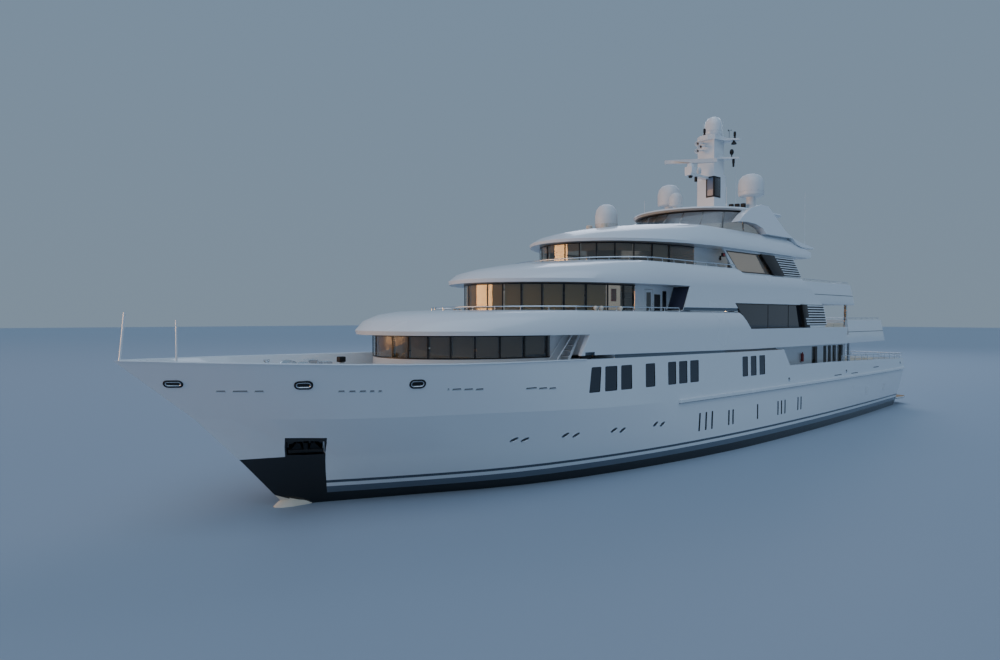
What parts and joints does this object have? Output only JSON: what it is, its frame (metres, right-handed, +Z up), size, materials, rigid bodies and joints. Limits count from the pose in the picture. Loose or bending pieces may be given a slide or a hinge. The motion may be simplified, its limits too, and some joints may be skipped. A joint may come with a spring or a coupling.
{
  "type": "motor yacht",
  "caption": "Large three-tier motor yacht, afloat, as a scale model at 1:10: flared white hull, stepped glazed tiers, open aft decks, arch and mast with radomes.",
  "frame": {"origin": "on the centreline at the waterline, 3.337 m aft of the tip of the bow", "axes": "+X to the bow, +Y to port, +Z up"},
  "size_m": [6.287, 1.2554, 2.5935],
  "materials": {
    "white_paint": "high-gloss white marine paint",
    "dark_glass": "dark brown tinted safety glass",
    "smoked_glass": "smoked safety glass",
    "polished_steel": "polished stainless steel",
    "bronze": "cast and machined propeller bronze",
    "teak": "teak planking on its steel frame",
    "dome_shell": "white glass-fibre radome",
    "antifouling": "matt black antifouling paint"
  },
  "bodies": {
    "yacht": {"hull": "white_paint", "anchor_port": "polished_steel", "anchor_starboard": "polished_steel", "rub_rail_port": "white_paint", "rub_rail_starboard": "white_paint", "swim_platform": "teak", "upper_deck_shell": "white_paint", "bridge_deck_shell": "white_paint", "upper_side_window_port": "dark_glass", "upper_side_window_starboard": "dark_glass", "sun_deck_shell": "white_paint", "main_tier_house": "white_paint", "main_tier_glass": "dark_glass", "upper_tier_house": "white_paint", "upper_tier_glass": "dark_glass", "bridge_house": "white_paint", "bridge_glass": "dark_glass", "bridge_side_walls": "white_paint", "bridge_side_window_port": "smoked_glass", "bridge_side_window_starboard": "smoked_glass", "lower_louvre_port": "white_paint", "lower_louvre_starboard": "white_paint", "upper_louvre_port": "white_paint", "upper_louvre_starboard": "white_paint", "upper_aft_deck": "white_paint", "bridge_aft_deck": "white_paint", "main_deck_house": "white_paint", "main_deck_window_port": "dark_glass", "main_deck_window_starboard": "dark_glass", "main_deck_pillar_port": "polished_steel", "main_deck_pillar_starboard": "polished_steel", "upper_deck_pillar_port": "polished_steel", "upper_deck_pillar_starboard": "polished_steel", "hardtop": "white_paint", "sun_deck_windscreen": "smoked_glass", "arch_leg_port": "white_paint", "arch_leg_starboard": "white_paint", "mast": "white_paint", "satellite_dome_port": "dome_shell", "satellite_dome_starboard": "dome_shell", "bow_dome": "dome_shell", "small_dome": "dome_shell", "jack_staff": "white_paint", "bow_light_pole": "polished_steel", "side_stairs_port": "white_paint", "side_stairs_starboard": "white_paint", "foredeck_gear": "polished_steel"},
    "propeller_port": {"propeller_port": "bronze"},
    "propeller_starboard": {"propeller_starboard": "bronze"},
    "rudder_port": {"rudder_port": "antifouling"},
    "rudder_starboard": {"rudder_starboard": "antifouling"},
    "stabiliser_fin_port": {"stabiliser_fin_port": "antifouling"},
    "stabiliser_fin_starboard": {"stabiliser_fin_starboard": "antifouling"},
    "radar_scanner": {"radar_scanner": "dome_shell"},
    "side_door_port": {"side_door_port": "white_paint"},
    "side_door_starboard": {"side_door_starboard": "white_paint"},
    "saloon_door_port": {"saloon_door_port": "smoked_glass"},
    "saloon_door_starboard": {"saloon_door_starboard": "smoked_glass"},
    "transom_door": {"transom_door": "white_paint"}
  },
  "joints": [
    {"name": "propeller_port", "type": "hinge", "parent": "yacht", "child": "propeller_port", "pos_m": [-2.25, 0.21, -0.25], "axis": [1, 0, 0], "continuous": true},
    {"name": "propeller_starboard", "type": "hinge", "parent": "yacht", "child": "propeller_starboard", "pos_m": [-2.25, -0.21, -0.25], "axis": [1, 0, 0], "continuous": true},
    {"name": "rudder_port", "type": "hinge", "parent": "yacht", "child": "rudder_port", "pos_m": [-2.43, 0.21, -0.2], "axis": [0, 0, 1], "range_deg": [-35, 35]},
    {"name": "rudder_starboard", "type": "hinge", "parent": "yacht", "child": "rudder_starboard", "pos_m": [-2.43, -0.21, -0.2], "axis": [0, 0, 1], "range_deg": [-35, 35]},
    {"name": "stabiliser_fin_port", "type": "hinge", "parent": "yacht", "child": "stabiliser_fin_port", "pos_m": [0.3, 0.484, -0.238], "axis": [0, 0.6119, -0.7909], "range_deg": [-25, 25]},
    {"name": "stabiliser_fin_starboard", "type": "hinge", "parent": "yacht", "child": "stabiliser_fin_starboard", "pos_m": [0.3, -0.484, -0.238], "axis": [0, -0.6119, -0.7909], "range_deg": [-25, 25]},
    {"name": "radar_scanner", "type": "hinge", "parent": "yacht", "child": "radar_scanner", "pos_m": [-0.206, 0, 1.889], "axis": [0, 0, 1], "continuous": true},
    {"name": "side_door_port", "type": "hinge", "parent": "yacht", "child": "side_door_port", "pos_m": [0.9274, 0.47, 0.84], "axis": [0, 0, -1], "range_deg": [0, 90]},
    {"name": "side_door_starboard", "type": "hinge", "parent": "yacht", "child": "side_door_starboard", "pos_m": [0.9274, -0.47, 0.84], "axis": [0, 0, 1], "range_deg": [0, 90]},
    {"name": "saloon_door_port", "type": "slide", "parent": "yacht", "child": "saloon_door_port", "axis": [0, 1, 0], "range_m": [0, 0.115]},
    {"name": "saloon_door_starboard", "type": "slide", "parent": "yacht", "child": "saloon_door_starboard", "axis": [0, -1, 0], "range_m": [0, 0.115]},
    {"name": "transom_door", "type": "hinge", "parent": "yacht", "child": "transom_door", "pos_m": [-2.7, 0, 0.0846], "axis": [0, -1, 0], "range_deg": [0, 90]}
  ],
  "couplings": [
    {"joint": "rudder_starboard", "follows": "rudder_port", "ratio": 1}
  ]
}
